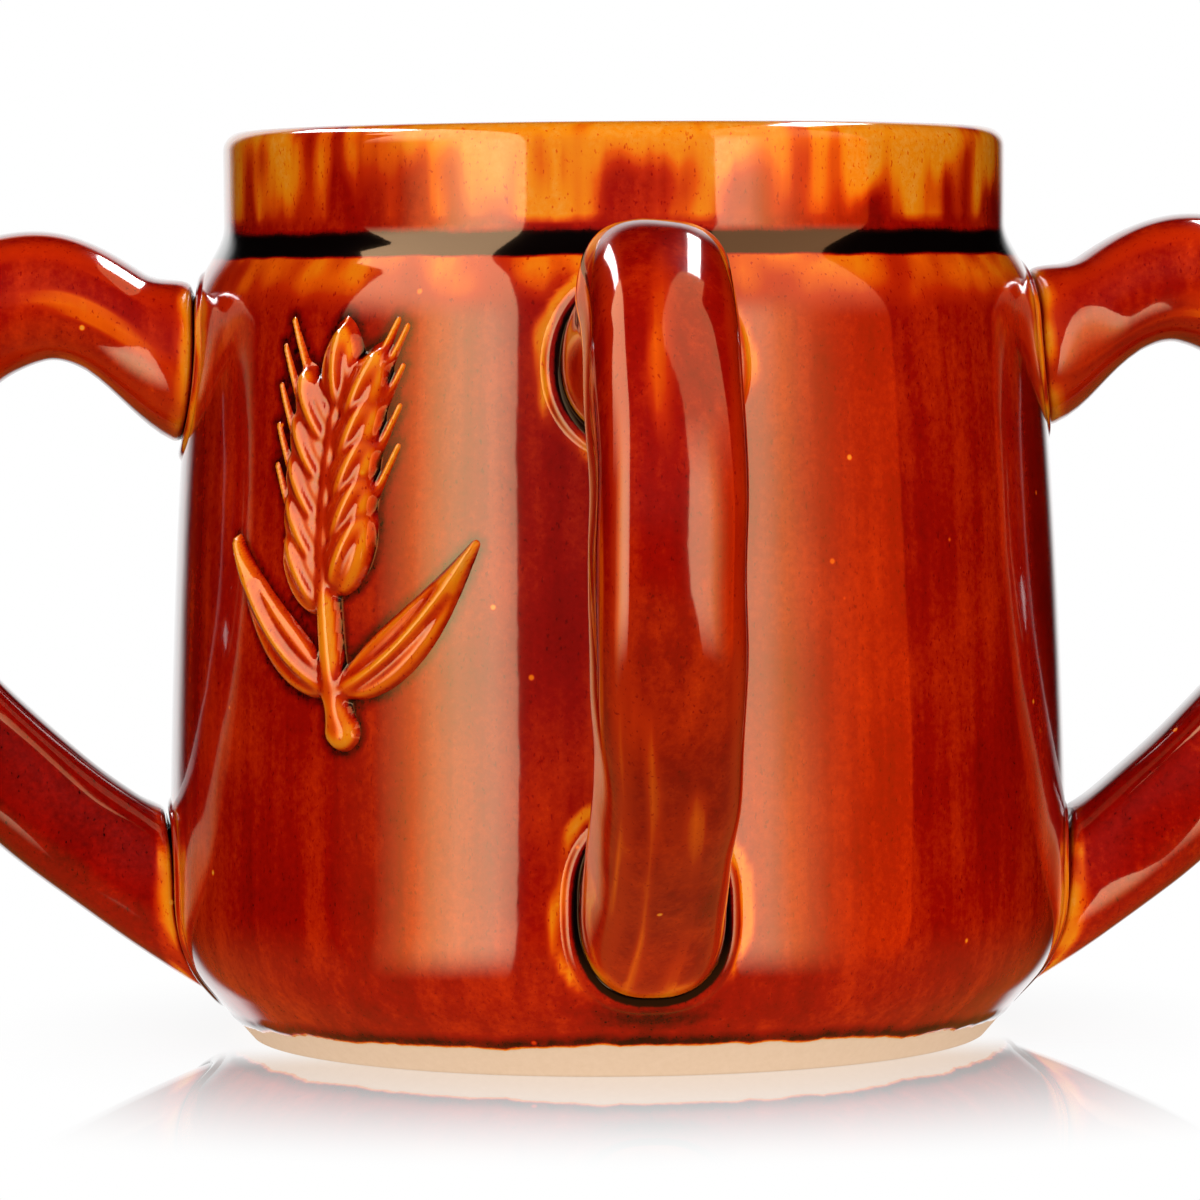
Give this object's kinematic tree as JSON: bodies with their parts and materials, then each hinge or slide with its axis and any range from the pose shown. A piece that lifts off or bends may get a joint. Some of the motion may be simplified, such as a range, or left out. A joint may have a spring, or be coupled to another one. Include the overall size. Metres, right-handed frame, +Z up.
{
  "type": "stoneware beer mug",
  "caption": "Stoneware beer mug with solid ear handles all round, a straight collar and a pressed barley sprig, in glossy amber and red-brown glaze over pale clay.",
  "frame": {"origin": "middle of the foot ring, on the surface that the mug stands on", "axes": "+Z up along the axis of the cup; the front handle points along -Y and the right handle along +X"},
  "size_m": [0.1712, 0.1712, 0.096],
  "materials": {
    "amber_glaze": "glossy transparent amber-brown glaze, bare pale clay at the foot",
    "handle_glaze": "glossy transparent amber-brown glaze, thinner and yellower on the edges",
    "pooled_glaze": "glossy glaze, pooled thick and nearly black in the crease",
    "sprig_glaze": "glossy amber glaze, yellow on the ridges and dark in the hollows"
  },
  "bodies": {
    "root": {"body": "amber_glaze", "handle_front": "handle_glaze", "handle_right": "handle_glaze", "handle_back": "handle_glaze", "handle_left": "handle_glaze", "slip_joint_front_upper": "pooled_glaze", "slip_joint_front_lower": "pooled_glaze", "slip_joint_right_upper": "pooled_glaze", "slip_joint_right_lower": "pooled_glaze", "slip_joint_back_upper": "pooled_glaze", "slip_joint_back_lower": "pooled_glaze", "slip_joint_left_upper": "pooled_glaze", "slip_joint_left_lower": "pooled_glaze", "barley_sprig": "sprig_glaze"}
  },
  "joints": []
}
